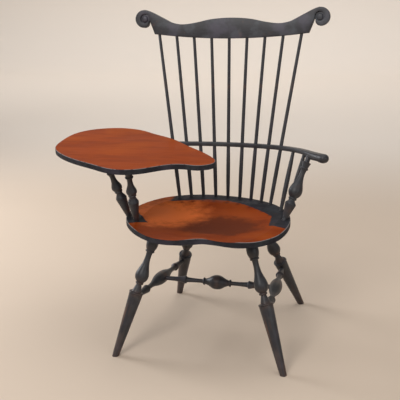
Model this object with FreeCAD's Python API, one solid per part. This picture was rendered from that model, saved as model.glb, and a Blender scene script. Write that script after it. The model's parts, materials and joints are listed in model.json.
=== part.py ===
"""Writing arm windsor chair.

A shaped plank seat on four turned, splayed legs with an H of turned stretchers. Nine long
spindles stand in the seat's back edge, pass through a bent arm rail and end in a scrolled crest
rail. A turned post carries the rail's knuckled end on the sitter's left. On the sitter's right
the rail's end is lapped under a teardrop writing tablet that two more turned posts carry.

The frame: millimetres, +Z up, the floor at zero, the sitter faces -Y, the sitter's left is +X.
"""
import FreeCAD, Part
import math
import os

V = FreeCAD.Vector

# Seat plank
seat_height = 445.0
seat_thickness = 40.0
seat_rim = 18.0
seat_bevel_inset = 60.0
seat_half_width = 280.0
seat_back_reach = 184.0
seat_front_reach = 309.0
saddle_depth = 15.0
saddle_centre = -45.0
saddle_half_width = 232.0
saddle_back_reach = 168.0
saddle_front_reach = 278.0
saddle_power = 3
saddle_margin = 40.0
saddle_steps = 14
pommel_rise = 8.0
pommel_half_width = 45.0
pommel_place = 30.0
pommel_start = 60.0
edge_ease = 2.5
# Outline of the seat: share of the half width, share of the back (+) or front (-) reach
seat_outline_shares = (
    (0.0, 0.978), (0.179, 0.935), (0.361, 0.848), (0.486, 0.761), (0.614, 0.641),
    (0.725, 0.484), (0.829, 0.283), (0.914, 0.033), (0.961, -0.146), (0.981, -0.353),
    (0.968, -0.53), (0.921, -0.69), (0.84, -0.808), (0.74, -0.895), (0.61, -0.937),
    (0.46, -0.943), (0.314, -0.924), (0.125, -0.909), (-0.054, -0.964), (-0.214, -1.0),
    (-0.389, -0.981), (-0.553, -0.9), (-0.707, -0.785), (-0.845, -0.643), (-0.975, -0.45),
    (-1.043, -0.2), (-1.017, 0.065), (-0.914, 0.446), (-0.804, 0.663), (-0.707, 0.777),
    (-0.607, 0.864), (-0.475, 0.94), (-0.329, 0.989), (-0.164, 1.0),
)

# Smooth outlines are drawn as this many edges that meet without a corner
outline_span_count = 8

# Joints: round ends glued into bored sockets
glue_clearance = 0.1
cut_overrun = 30.0

# Legs
leg_top_radius = 15.5
leg_swell_radius = 20.0
leg_ring_radius = 15.4
leg_neck_radius = 9.6
leg_bulb_radius = 22.8
leg_bead_radius = 13.8
leg_cove_radius = 8.8
leg_throat_radius = 16.6
leg_shoulder_radius = 24.6
leg_taper_radius = 23.2
leg_foot_radius = 10.6
leg_bead_half_width = 3.4
leg_socket_depth = 20.0
leg_collar = 12.0
# How far a leg's top stands in from the seat's side and from its front or back edge
front_leg_side_inset = 119.0
front_leg_inset = 147.0
back_leg_side_inset = 161.0
back_leg_inset = 78.0
# How far the leg splays sideways and forwards or backwards from there to the floor
front_leg_side_splay = 127.0
front_leg_splay = 110.0
back_leg_side_splay = 125.0
back_leg_splay = 174.0
# Heights along a leg, as shares of the way from the seat's underside to the floor
leg_swell_share = 0.075
leg_ring_share = 0.135
leg_neck_share = 0.178
leg_bulb_share = 0.34
leg_bead_share = 0.396
leg_cove_share = 0.43
leg_shoulder_share = 0.475
# How much lower the back legs' turnings sit, as a share of the same way
back_turning_drop_share = 0.036

# Stretchers
stretcher_end_radius = 7.8
side_stretcher_front_height = 193.0
side_stretcher_back_height = 174.0
side_bulb_radius = 22.0
side_vase_radius = 14.4
side_neck_radius = 8.4
medial_bulb_radius = 25.2
medial_vase_radius = 14.2
medial_ring_radius = 13.2
medial_neck_radius = 7.2
# Places along a stretcher, as shares of its length from either end to its middle
side_end_share = 0.06
side_vase_share = 0.21
side_step_share = 0.225
side_waist_share = 0.285
side_lip_share = 0.345
side_flare_share = 0.412
medial_end_share = 0.12
medial_vase_share = 0.22
medial_step_share = 0.232
medial_waist_share = 0.31
medial_ring_share = 0.385
medial_ring_half_share = 0.008
medial_lip_share = 0.411
medial_flare_share = 0.437
medial_crown_share = 0.46

# Spindles
spindle_arc_back = 165.0
spindle_arc_width = 276.0
spindle_arc_depth = 245.0
spindle_step_degrees = 9.5
spindle_turn_degrees = 4.5
crest_spindle_pitch = 64.0
spindle_seat_radius = 5.8
spindle_swell_radius = 7.0
spindle_rail_radius = 6.2
spindle_top_radius = 5.3
spindle_seat_socket = 16.0
spindle_crest_socket = 25.0
spindle_pairs = 4
# The fullest place of a spindle, as a share of its length above the seat
spindle_swell_share = 0.16

# Crest rail
crest_height = 1001.5
crest_lean = 75.0
crest_thickness = 20.0
crest_half_bottom = 277.0
crest_end_rise = 16.5
crest_hump = 71.0
crest_dip = 50.0
crest_dip_place = 171.0
crest_bow = 11.0
crest_offset = 5.0
volute_place = 313.0
volute_height = 70.0
volute_radius = 31.0
volute_groove_radius = 3.4
volute_groove_share = 0.5
# The crest's top edge: the fall from the hump to the dip, then the rise to the scroll's top
hump_fall_shares = ((0.40, 0.80), (0.72, 0.28))
ear_rise_shares = ((0.31, 0.13), (0.50, 0.41), (0.64, 0.60), (0.82, 0.85), (0.93, 0.965))
# The neck's underside and the curl's inner end, in shares of the scroll's radius from its eye
neck_shares = ((-0.86, -1.03), (-0.60, -0.26), (-0.50, -0.16), (-0.40, -0.26))
curl_shares = ((-0.46, -0.58), (-0.35, -0.82))

# Crest pins
pin_radius = 2.5
pin_length = 15.0

# Bent arm rail
rail_height = 634.0
rail_thickness = 15.4
rail_width = 21.0
rail_pitch_degrees = 5.7
rail_ease = 2.9
rail_span_count = 8
arm_half_span = 372.0
arm_reach = 166.0
hand_width = 35.0
stub_span = 107.0
stub_reach = 73.0
# The arm beyond the last long spindle: shares of the way out to the hand and forward to it
arm_path_shares = ((0.40, 0.30), (0.71, 0.68), (0.88, 0.88), (1.0, 1.0))
arm_width_shares = (0.15, 0.60, 0.92, 1.0)
# The short end under the tablet: shares of its way out and forward
stub_path_shares = ((0.58, 0.45), (1.0, 1.0))

# Knuckle glued under the hand, its underside in shares of its length and depth from the nose
knuckle_length = 112.0
knuckle_depth = 14.5
knuckle_waist_share = 0.76
knuckle_shares = (
    (0.0, 0.0), (0.015, 0.42), (0.06, 0.82), (0.14, 1.0), (0.23, 0.95), (0.32, 0.80),
    (0.44, 0.76), (0.66, 0.76), (0.86, 0.75), (0.96, 0.55), (1.0, 0.0),
)
# How the hand's top rounds down to its nose, in shares of the hand's width and thickness
nose_shares = ((0.0, 0.0), (0.03, 0.36), (0.13, 0.70), (0.32, 0.92), (0.60, 1.0))

# Short spindles between seat and arm, on the plain side only
short_seat_shares = ((0.782, 0.24), (0.879, 0.0))
short_rail_shares = ((0.30, 0.22), (0.57, 0.50))
short_radius = 5.8
short_rail_socket = 7.0

# Arm post and tablet posts, seat end then top end
post_seat_radius = 8.3
post_top_radius = 8.5
post_shoulder_radius = 18.6
post_cove_radius = 10.2
post_bead_radius = 14.0
arm_post_bulb_radius = 22.4
tablet_post_bulb_radius = 17.9
post_neck_radius = 9.2
post_collar_radius = 13.8
post_cup_radius = 15.6
post_bead_half_width = 3.4
post_seat_socket = 16.0
post_top_socket = 7.0
# Where the posts stand: shares of the seat's half width and back reach
arm_post_seat_shares = (0.893, -0.283)
outer_post_seat_shares = (-0.96, -0.647)
inner_post_seat_shares = (-0.814, -0.853)
# Where they end: shares along the arm, and shares of the tablet's span and depth
arm_post_top_shares = (0.70, 0.70)
outer_post_top_shares = (0.57, -0.01)
inner_post_top_shares = (0.433, -0.073)
# Distances up a post as shares of its clear length
post_leave_share = 0.03
post_cup_share = 0.952
post_enter_share = 0.962
# The shoulder, cove, bead, bulb, neck and collar of each kind of post, in the same shares
arm_post_turning_shares = (0.26, 0.315, 0.355, 0.495, 0.73, 0.85)
tablet_post_turning_shares = (0.363, 0.44, 0.487, 0.565, 0.715, 0.82)

# Writing tablet
tablet_underside = 644.0
tablet_thickness = 17.0
tablet_tip_across = 53.0
tablet_spindle_gap = 18.8
tablet_span = 647.0
tablet_depth = 590.0
tablet_ease = 2.0
# The depth share of the near edge where it passes in front of the first long spindle
tablet_gap_share = 0.52
# Outline from the tail's tip round the far edge to the broad end and back along the near edge:
# shares of the span to the sitter's right and of the depth towards the back
tablet_outline_shares = (
    (0.0, 0.0), (0.014, 0.053), (0.045, 0.107), (0.138, 0.229), (0.25, 0.356),
    (0.354, 0.483), (0.433, 0.556), (0.526, 0.629), (0.623, 0.712), (0.713, 0.756),
    (0.802, 0.766), (0.87, 0.746), (0.944, 0.69), (0.986, 0.612), (1.0, 0.497),
    (0.988, 0.353), (0.951, 0.195), (0.867, 0.066), (0.77, -0.027), (0.677, -0.095),
    (0.594, -0.147), (0.51, -0.203), (0.44, -0.231), (0.383, -0.229), (0.329, -0.205),
    (0.28, -0.158), (0.236, -0.11), (0.193, -0.081), (0.139, -0.073), (0.076, -0.086),
    (0.029, -0.068),
)

# Wood screws that hold the tablet down on the lapped rail
screw_shank_radius = 2.2
screw_head_radius = 4.2
screw_head_height = 2.4
screw_recess = 0.6
screw_bite = 10.0
screw_places_shares = (0.05, 0.65)

os.makedirs("parts", exist_ok=True)


def spline(points):
    """Return an edge along a smooth curve through the points."""
    curve = Part.BSplineCurve()
    curve.interpolate(Points=points)
    return curve.toShape()


def spline_spans(points, spans, closed=False):
    """Return a smooth curve through the points as a row of edges that meet smoothly."""
    curve = Part.BSplineCurve()
    curve.interpolate(Points=points, PeriodicFlag=closed)
    step = (curve.LastParameter - curve.FirstParameter) / spans
    knots = [curve.FirstParameter + step * span for span in range(spans + 1)]
    return [curve.toShape(near, far) for near, far in zip(knots, knots[1:])]


def solid_of(shape):
    """Return the single solid of a shape."""
    solids = shape.removeSplitter().Solids
    if len(solids) != 1:
        raise ValueError(f"expected one solid, found {len(solids)}")
    return solids[0]


def direction(start, end):
    """Return the unit vector from start to end."""
    return (end - start).normalize()


def along(start, end, distance):
    """Return the point at a distance from start towards end."""
    return start + direction(start, end) * distance


def mix(start, end, share):
    """Return the point at a share of the way from start to end."""
    return start + (end - start) * share


def stand(shape, start, end):
    """Turn a shape made along +Z so that it runs from start towards end."""
    turn = FreeCAD.Rotation(V(0, 0, 1), direction(start, end))
    shape.Placement = FreeCAD.Placement(start, turn)
    return shape


def rod(start, end, radius):
    """Return a plain cylinder between two points."""
    return Part.makeCylinder(radius, (end - start).Length, start, end - start)


def socket(start, end, radius):
    """Return the bore for a round end, larger by the glue clearance."""
    tip = along(start, end, -glue_clearance)
    return rod(tip, end, radius + glue_clearance)


def turned(start, end, sections):
    """Return a lathe-turned solid from start to end.

    Each section is a list of (distance from start, radius). Two points give a straight run,
    and more give a smooth curve. A change of radius between sections is a square step.
    """
    length = (end - start).Length
    edges = []
    last = V(0, 0, 0)
    for section in sections:
        points = [V(radius, 0, height) for height, radius in section]
        if (points[0] - last).Length > Part.Precision.confusion():
            edges.append(Part.LineSegment(last, points[0]).toShape())
        if len(points) > 2:
            edges.append(spline(points))
        else:
            edges.append(Part.LineSegment(points[0], points[1]).toShape())
        last = points[-1]
    top = V(0, 0, length)
    edges.append(Part.LineSegment(last, top).toShape())
    edges.append(Part.LineSegment(top, V(0, 0, 0)).toShape())
    face = Part.Face(Part.Wire(edges))
    solid = face.revolve(V(0, 0, 0), V(0, 0, 1), 360)
    return stand(Part.Solid(solid), start, end)


def save(shape, name):
    """Write one piece, or a group of like pieces, to its own file."""
    if not shape.isValid():
        raise ValueError(name + " is not valid")
    shape.exportStep("parts/" + name + ".step")
    print(name, "solids", len(shape.Solids), "volume", round(shape.Volume))


# Lines that the pieces stand on
underside = seat_height - seat_thickness
lean_angle = math.degrees(math.atan2(crest_lean, crest_height - seat_height))
bow_radius = (volute_place**2 + crest_bow**2) / (2 * crest_bow)
crest_place = FreeCAD.Placement(
    V(crest_offset, spindle_arc_back + crest_lean, crest_height),
    FreeCAD.Rotation(V(1, 0, 0), -lean_angle),
)


def crest_edge(across):
    """Return the point on the crest's bottom edge at a distance across, where it stands."""
    bow = bow_radius - math.sqrt(bow_radius**2 - across**2)
    rise = crest_end_rise * (across / crest_half_bottom) ** 2
    return crest_place.multVec(V(across, -bow, rise))


def long_spindle_line(index):
    """Return where a long spindle's middle line leaves the seat and meets the crest."""
    angle = math.radians(spindle_step_degrees * index)
    turned_angle = angle + math.radians(spindle_turn_degrees)
    across = spindle_arc_width * math.sin(angle)
    back = spindle_arc_back - spindle_arc_depth * (1 - math.cos(turned_angle))
    return V(across, back, seat_height), crest_edge(crest_spindle_pitch * index - crest_offset)


# The rail lies in a plane that rises a little towards the hands
rail_pitch = math.radians(rail_pitch_degrees)
centre_seat, centre_crest = long_spindle_line(0)
rail_share = (rail_height - seat_height) / (centre_crest.z - centre_seat.z)
rail_back = mix(centre_seat, centre_crest, rail_share).y
rail_place = FreeCAD.Placement(
    V(0, rail_back, rail_height), FreeCAD.Rotation(V(1, 0, 0), -rail_pitch_degrees)
)
rail_normal = rail_place.Rotation.multVec(V(0, 0, 1))


def on_rail_plane(start, end, lift=0.0):
    """Return where a line meets the rail's middle plane, or a plane lifted from it."""
    step = direction(start, end)
    gap = (rail_place.Base - start).dot(rail_normal) + lift
    return start + step * (gap / step.dot(rail_normal))


def rail_height_at(across, back):
    """Return the point of the rail's middle plane over a place."""
    return on_rail_plane(V(across, back, 0), V(across, back, rail_height))


spindle_numbers = range(-spindle_pairs, spindle_pairs + 1)
crossings = [on_rail_plane(*long_spindle_line(index)) for index in spindle_numbers]
stub_root, arm_root = crossings[0], crossings[-1]


def arm_point(out_share, forward_share):
    """Return a point of the arm's middle line beyond the last long spindle."""
    across = arm_root.x + out_share * (arm_half_span - arm_root.x)
    return rail_height_at(across, arm_root.y - forward_share * arm_reach)


def stub_point(out_share, forward_share):
    """Return a point of the middle line of the rail's short end under the tablet."""
    across = stub_root.x - out_share * stub_span
    return rail_height_at(across, stub_root.y - forward_share * stub_reach)


arm_path = [arm_point(*shares) for shares in arm_path_shares]
stub_path = [stub_point(*shares) for shares in stub_path_shares]


def rail_outline():
    """Return the bent rail's plan with its widened hand, flat, and the hand's last stretch."""
    centre = list(reversed(stub_path)) + crossings + arm_path
    growth = (hand_width - rail_width) / 2
    plain = [rail_width / 2] * (len(centre) - len(arm_path))
    halves = plain + [rail_width / 2 + growth * share for share in arm_width_shares]
    flat = [rail_place.inverse().multVec(point) for point in centre]
    flat = [V(point.x, point.y, -rail_thickness / 2) for point in flat]
    ahead = flat[1:] + [flat[-1] * 2 - flat[-2]]
    behind = [flat[0] * 2 - flat[1]] + flat[:-1]
    sides = [direction(a, b).cross(V(0, 0, 1)) for a, b in zip(behind, ahead)]
    inner = [point + side * half for point, side, half in zip(flat, sides, halves)]
    outer = [point - side * half for point, side, half in zip(flat, sides, halves)]
    forward = direction(behind[-1], flat[-1])
    bend = math.sqrt(0.5)
    nose = flat[-1] + forward * (hand_width / 2)
    round_end = [
        flat[-1] + (forward - sides[-1]) * bend * halves[-1],
        nose,
        flat[-1] + (forward + sides[-1]) * bend * halves[-1],
    ]
    around = spline_spans(outer + round_end + list(reversed(inner)), rail_span_count)
    stub_end = Part.LineSegment(inner[0], outer[0]).toShape()
    return Part.Face(Part.Wire(around + [stub_end])), behind[-1], flat[-1], nose


def hand_frame():
    """Return the outline, a corner beside the nose, and the ways ahead and across the hand."""
    outline, behind, hand, nose = rail_outline()
    ahead = direction(behind, hand)
    across = ahead.cross(V(0, 0, 1))
    return outline, nose - across * hand_width, ahead, across


def make_nose_waste():
    """Return what is carved off the hand's top to round it down to its nose."""
    _, corner, ahead, across = hand_frame()
    points = []
    for back_share, up_share in nose_shares:
        point = corner - ahead * (hand_width * back_share)
        points.append(point + V(0, 0, rail_thickness * up_share))
    first, last = points[0], points[-1]
    rise = V(0, 0, rail_thickness)
    clear = ahead * hand_width
    sides = Part.makePolygon([last, last + rise, first + rise * 2 + clear, first + clear, first])
    profile = Part.Face(Part.Wire([spline(points)] + sides.Edges))
    return profile.extrude(across * hand_width * 2)


def make_rail_blank():
    """Return the bent rail before its holes are bored."""
    blank = rail_outline()[0].extrude(V(0, 0, rail_thickness))
    flat_edges = [edge for edge in blank.Edges if edge.BoundBox.ZLength < rail_ease]
    level = [edge for edge in flat_edges if edge.Length > rail_width + glue_clearance]
    upper = [edge for edge in level if edge.BoundBox.ZMin > 0]
    blank = blank.makeFillet(rail_ease, upper).cut(make_nose_waste())
    blank.Placement = rail_place
    return blank


def make_seat_blank():
    """Return the shaped plank with its bevelled underside and its dished top."""
    rim_bottom = seat_height - seat_rim

    def outline(inset, height):
        points = []
        for across, reach in seat_outline_shares:
            depth = seat_back_reach if reach > 0 else seat_front_reach
            point = V(across * seat_half_width, reach * depth, 0)
            point = point - direction(V(0, 0, 0), point) * inset
            points.append(point + V(0, 0, height))
        return Part.Wire(spline_spans(points, outline_span_count, closed=True))

    rim = Part.Face(outline(0, rim_bottom)).extrude(V(0, 0, seat_rim))
    top = [edge for edge in rim.Edges if edge.BoundBox.ZMin > seat_height - edge_ease]
    rim = rim.makeFillet(edge_ease, top)
    bevel = Part.makeLoft(
        [outline(seat_bevel_inset, underside), outline(0, rim_bottom)], True, True
    )
    return rim.fuse(bevel).cut(make_saddle())


def saddle_level(across, back):
    """Return the height of the dished surface over a place.

    The dish is a rounded rectangle that dies out at its edge, wider towards the front, with a
    pommel that swells up between the sitter's legs.
    """
    ahead = back - saddle_centre
    reach = saddle_back_reach if ahead > 0 else saddle_front_reach
    spread = abs(across / saddle_half_width) ** saddle_power + abs(ahead / reach) ** saddle_power
    ramp = max(0, -back - pommel_start) / (seat_front_reach - pommel_start)
    swell = math.exp(-(((across - pommel_place) / pommel_half_width) ** 2))
    return seat_height - saddle_depth * (1 - spread) + pommel_rise * swell * ramp**2


def make_saddle():
    """Return the waste that is hollowed out of the seat's top."""
    half = saddle_half_width + saddle_margin
    back = saddle_centre + saddle_back_reach + saddle_margin
    front = -seat_front_reach - saddle_margin
    rows = []
    for row in range(saddle_steps + 1):
        across = -half + 2 * half * row / saddle_steps
        line = []
        for step in range(saddle_steps + 1):
            place = front + (back - front) * step / saddle_steps
            line.append(V(across, place, saddle_level(across, place)))
        rows.append(line)
    surface = Part.BSplineSurface()
    surface.interpolate(rows)
    return surface.toShape().extrude(V(0, 0, seat_thickness + saddle_margin))


def bead(place, half_width, low, high):
    """Return the outline of a raised ring that stands from a low to a high radius."""
    return [(place - half_width, low), (place, high), (place + half_width, low)]


def make_leg(top, foot, drop_share):
    """Return one turned leg from its round end in the seat to its foot cut flat on the floor.

    Its turnings sit lower than the shares above by the drop.
    """
    start = along(top, foot, -leg_socket_depth)
    end = along(top, foot, (foot - top).Length + leg_foot_radius)
    clear = (foot - top).Length

    def at(share):
        return leg_socket_depth + (share + drop_share) * clear

    half = leg_bead_half_width
    ring, low_bead, shoulder = at(leg_ring_share), at(leg_bead_share), at(leg_shoulder_share)
    ring_low, bead_low = leg_ring_radius * 0.9, leg_bead_radius * 0.85
    shoulder_low = leg_shoulder_radius * 0.88
    waist = at((leg_neck_share + leg_bulb_share) / 2)
    sections = [
        [(0, leg_top_radius), (leg_socket_depth + leg_collar, leg_top_radius)],
        [
            (leg_socket_depth + leg_collar, leg_top_radius),
            (at(leg_swell_share), leg_swell_radius),
            (ring - half, ring_low),
        ],
        bead(ring, half, ring_low, leg_ring_radius),
        [
            (ring + half, leg_neck_radius * 1.12),
            (at(leg_neck_share), leg_neck_radius),
            (waist, leg_neck_radius * 1.5),
            (at(leg_bulb_share), leg_bulb_radius),
            (low_bead - half, bead_low),
        ],
        bead(low_bead, half, bead_low, leg_bead_radius),
        [
            (low_bead + half, leg_cove_radius),
            (at(leg_cove_share), (leg_cove_radius + leg_throat_radius) * 0.46),
            (shoulder - half, leg_throat_radius),
        ],
        bead(shoulder, half, shoulder_low, leg_shoulder_radius),
        [(shoulder + half, leg_taper_radius), ((end - start).Length, leg_foot_radius)],
    ]
    leg = turned(start, end, sections)
    reach = leg_shoulder_radius * 2
    ground = Part.makeBox(reach * 2, reach * 2, reach, foot - V(reach, reach, reach))
    return leg.cut(ground)


def make_stretcher(start, end, sections):
    """Return a turned stretcher between two points, its profile in shares of its length."""
    length = (end - start).Length
    scaled = [[(share * length, radius) for share, radius in section] for section in sections]
    return turned(start, end, scaled)


def vase_end(radii, places):
    """Return a stretcher's end: a round end that widens to a vase and steps down to its neck."""
    end, vase, neck = radii
    end_share, vase_share, step_share = places
    middle_share = (end_share + vase_share) / 2
    return [
        [(0, end), (end_share, end)],
        [(end_share, end), (middle_share, (end + vase) * 0.46), (vase_share, vase)],
        [(vase_share, vase), (step_share, neck)],
    ]


def side_profile():
    """Return the side stretchers' outline, alike at both ends."""
    neck, bulb = side_neck_radius, side_bulb_radius
    radii = (stretcher_end_radius, side_vase_radius, neck * 1.1)
    left = vase_end(radii, (side_end_share, side_vase_share, side_step_share))
    half = [
        (side_step_share, neck * 1.1),
        (side_waist_share, neck),
        (side_lip_share, neck * 1.35),
        (side_flare_share, bulb * 0.83),
    ]
    return left + [swelling(half, bulb)] + mirrored(left)


def medial_profile():
    """Return the cross stretcher's outline, alike at both ends."""
    neck, bulb = medial_neck_radius, medial_bulb_radius
    radii = (stretcher_end_radius, medial_vase_radius, neck * 1.28)
    left = vase_end(radii, (medial_end_share, medial_vase_share, medial_step_share))
    near = medial_ring_share - medial_ring_half_share
    far = medial_ring_share + medial_ring_half_share
    left.append([(medial_step_share, neck * 1.28), (medial_waist_share, neck), (near, neck)])
    low = neck * 1.45
    left.append(bead(medial_ring_share, medial_ring_half_share, low, medial_ring_radius))
    half = [
        (far, neck * 1.3),
        (medial_lip_share, neck * 1.6),
        (medial_flare_share, bulb * 0.65),
        (medial_crown_share, bulb * 0.87),
    ]
    return left + [swelling(half, bulb)] + mirrored(left)


def swelling(half, bulb):
    """Return the outline of a stretcher's swollen middle from its left half."""
    right = [(1 - share, radius) for share, radius in reversed(half)]
    return half + [(1 / 2, bulb)] + right


def mirrored(sections):
    """Return sections turned end for end about the middle of a length of one."""
    return [[(1 - share, radius) for share, radius in reversed(s)] for s in reversed(sections)]


def seat_place(across_share, back_share):
    """Return a place on the seat's top, in shares of its half width and back reach."""
    return V(across_share * seat_half_width, back_share * seat_back_reach, seat_height)


# The tablet's edge passes in front of the first long spindle
first_seat, first_crest = long_spindle_line(-spindle_pairs)
first_share = (tablet_underside - seat_height) / (first_crest.z - first_seat.z)
tablet_edge_back = mix(first_seat, first_crest, first_share).y - tablet_spindle_gap


def tablet_place(across_share, back_share):
    """Return a place on the tablet's underside, in shares of its span and depth."""
    across = tablet_tip_across - across_share * tablet_span
    back = tablet_edge_back + (back_share - tablet_gap_share) * tablet_depth
    return V(across, back, tablet_underside)


def make_post(foot, top, turning_shares, bulb_radius, top_socket):
    """Return one turned post and its line, from its socket in the seat to its upper socket."""
    start = along(foot, top, -post_seat_socket)
    end = along(top, foot, -top_socket)
    clear = (top - foot).Length

    def at(share):
        return post_seat_socket + share * clear

    half = post_bead_half_width
    shoulder, cove, middle, bulb, neck, collar = [at(share) for share in turning_shares]
    cup, enter = at(post_cup_share), at(post_enter_share)
    bead_low, collar_low = post_bead_radius * 0.87, post_collar_radius * 0.88
    sections = [
        [(0, post_seat_radius), (at(post_leave_share), post_seat_radius)],
        [(at(post_leave_share), post_seat_radius), (shoulder, post_shoulder_radius)],
        [
            (shoulder, post_shoulder_radius),
            (shoulder + half, post_shoulder_radius * 0.95),
            (cove, post_cove_radius * 1.1),
            (middle - half, post_cove_radius),
        ],
        bead(middle, half, bead_low, post_bead_radius),
        [
            (middle + half, bead_low),
            (bulb, bulb_radius),
            ((bulb + neck) / 2, (bulb_radius + post_neck_radius) * 0.47),
            (neck, post_neck_radius),
            (collar - half, post_neck_radius * 1.15),
        ],
        bead(collar, half, collar_low, post_collar_radius),
        [
            (collar + half, post_neck_radius * 1.2),
            ((collar + cup) / 2, post_collar_radius * 0.9),
            (cup, post_cup_radius),
        ],
        [(cup, post_cup_radius), (enter, post_top_radius)],
        [(enter, post_top_radius), ((end - start).Length, post_top_radius)],
    ]
    return turned(start, end, sections), (start, foot, top, end)


def make_spindle(seat_point, end_point, radii, rail_point=None):
    """Return a spindle and its line, from its socket in the seat to its upper socket.

    A long spindle is given the point where it passes through the rail, and has a straight run
    there that fills the rail's hole.
    """
    seat_radius, middle_radius, top_radius, top_socket = radii
    start = along(seat_point, end_point, -spindle_seat_socket)
    end = along(end_point, seat_point, -top_socket)
    leave = spindle_seat_socket + seat_radius / 2
    enter = (end_point - start).Length - top_radius * 2
    swell = spindle_seat_socket + spindle_swell_share * (end_point - seat_point).Length
    if rail_point is None:
        run = [(leave, seat_radius), (swell, middle_radius), (enter, top_radius)]
        sections = [[(0, seat_radius), (leave, seat_radius)], run]
    else:
        rail_low = (rail_point - start).Length - rail_thickness
        rail_high = rail_low + 2 * rail_thickness
        sections = [
            [(0, seat_radius), (leave, seat_radius)],
            [(leave, seat_radius), (swell, middle_radius), (rail_low, spindle_rail_radius)],
            [(rail_low, spindle_rail_radius), (rail_high, spindle_rail_radius)],
            [(rail_high, spindle_rail_radius), (enter, top_radius)],
        ]
    sections.append([(enter, top_radius), ((end - start).Length, top_radius)])
    return turned(start, end, sections), (start, seat_point, end_point, end)


def make_crest_blank():
    """Return the scrolled crest rail, bowed and leaned back, before its holes are bored."""
    eye = V(volute_place, 0, volute_height)
    crown = volute_height + volute_radius
    reach = volute_place - crest_dip_place

    def about_eye(share):
        return eye + V(share[0], 0, share[1]) * volute_radius

    top = [V(0, 0, crest_hump)]
    for out, up in hump_fall_shares:
        top.append(V(out * crest_dip_place, 0, crest_dip + up * (crest_hump - crest_dip)))
    top.append(V(crest_dip_place, 0, crest_dip))
    for out, up in ear_rise_shares:
        top.append(V(crest_dip_place + out * reach, 0, crest_dip + up * (crown - crest_dip)))
    top.append(V(volute_place, 0, crown))
    corner = V(crest_half_bottom, 0, crest_end_rise)
    quarter = V(crest_half_bottom / 2, 0, crest_end_rise / 4)
    foot = about_eye((0, -1))
    neck = [corner] + [about_eye(share) for share in neck_shares[:2]]
    turn = [about_eye(share) for share in neck_shares[1:]]
    curl = [turn[-1]] + [about_eye(share) for share in curl_shares] + [foot]

    def flip(point):
        return V(-point.x, point.y, point.z)

    half = [
        spline(neck),
        Part.Arc(*turn).toShape(),
        spline(curl),
        Part.Arc(foot, about_eye((1, 0)), about_eye((0, 1))).toShape(),
    ]
    mirror = [edge.mirror(V(0, 0, 0), V(1, 0, 0)) for edge in half]
    bottom = spline([flip(corner), flip(quarter), V(0, 0, 0), quarter, corner])
    crest_top = spline([flip(point) for point in reversed(top)] + top[1:])
    outline = Part.Face(Part.Wire(Part.__sortEdges__(half + mirror + [bottom, crest_top])))
    depth = crest_bow + 2 * crest_thickness
    board = outline.extrude(V(0, -2 * depth, 0))
    board.translate(V(0, depth, 0))
    floor = V(0, -bow_radius, -crest_thickness)
    height = crown + 2 * crest_thickness
    bent = Part.makeCylinder(bow_radius + crest_thickness / 2, height, floor)
    bent = bent.cut(Part.makeCylinder(bow_radius - crest_thickness / 2, height, floor))
    crest = board.common(bent)
    for side in (-1, 1):
        outwards = V(side * volute_place, bow_radius - crest_bow, 0).normalize()
        face = V(0, -bow_radius, volute_height) + outwards * (bow_radius - crest_thickness / 2)
        ring = volute_radius * volute_groove_share
        crest = crest.cut(Part.makeTorus(ring, volute_groove_radius, face, outwards))
    crest.Placement = crest_place
    return crest


def make_knuckle():
    """Return the carved block glued under the hand, before the post's hole is bored."""
    outline, corner, ahead, across = hand_frame()
    points = []
    for back_share, down_share in knuckle_shares:
        point = corner - ahead * (knuckle_length * back_share)
        points.append(point - V(0, 0, knuckle_depth * down_share))
    top = Part.LineSegment(points[-1], points[0]).toShape()
    profile = Part.Face(Part.Wire([spline(points), top]))
    block = profile.extrude(across * hand_width * 2)
    block = block.common(outline.extrude(V(0, 0, -knuckle_depth * 2)))
    block.Placement = rail_place
    return block


def make_tablet_blank():
    """Return the writing tablet before its sockets are bored."""
    points = [tablet_place(*shares) for shares in tablet_outline_shares]
    outline = Part.Wire(spline_spans(points, outline_span_count, closed=True))
    return Part.Face(outline).extrude(V(0, 0, tablet_thickness))


def ease_rim(board, level):
    """Return a board with the edge round its face at a level rounded over."""
    rim = [edge for edge in board.Edges if abs(edge.BoundBox.ZMin - level) < glue_clearance]
    return board.makeFillet(tablet_ease, rim)


def make_screw(foot, extra=0.0):
    """Return a countersunk wood screw that points up, or its bore when made larger."""
    head = Part.makeCone(
        screw_head_radius + extra, screw_shank_radius + extra, screw_head_height, foot
    )
    length = tablet_underside + screw_bite - foot.z + extra
    return head.fuse(Part.makeCylinder(screw_shank_radius + extra, length, foot)).removeSplitter()


def make_pin(index, extra=0.0):
    """Return the pin through the crest's back into a spindle's end, or its bore."""
    across = crest_spindle_pitch * index - crest_offset
    bow = bow_radius - math.sqrt(bow_radius**2 - across**2)
    rise = crest_end_rise * (across / crest_half_bottom) ** 2 + spindle_crest_socket / 2
    tail = crest_place.multVec(V(across, crest_thickness / 2 - bow, rise))
    ahead = crest_place.Rotation.multVec(V(0, -1, 0))
    return Part.makeCylinder(pin_radius + extra, pin_length + extra, tail, ahead)


# Legs and stretchers
leg_ends = {}
for side_name, side in (("right", -1), ("left", 1)):
    across = seat_half_width - front_leg_side_inset
    ahead = seat_front_reach - front_leg_inset
    front_top = V(side * across, -ahead, underside)
    front_foot = V(side * (across + front_leg_side_splay), -ahead - front_leg_splay, 0)
    across = seat_half_width - back_leg_side_inset
    back = seat_back_reach - back_leg_inset
    back_top = V(side * across, back, underside)
    back_foot = V(side * (across + back_leg_side_splay), back + back_leg_splay, 0)
    leg_ends["front_" + side_name] = (front_top, front_foot)
    leg_ends["back_" + side_name] = (back_top, back_foot)

drops = {name: back_turning_drop_share * name.startswith("back") for name in leg_ends}
legs = {name: make_leg(*ends, drops[name]) for name, ends in leg_ends.items()}


def at_height(ends, height):
    """Return the point of a leg's middle line at a height above the floor."""
    top, foot = ends
    return mix(foot, top, height / underside)


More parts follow.
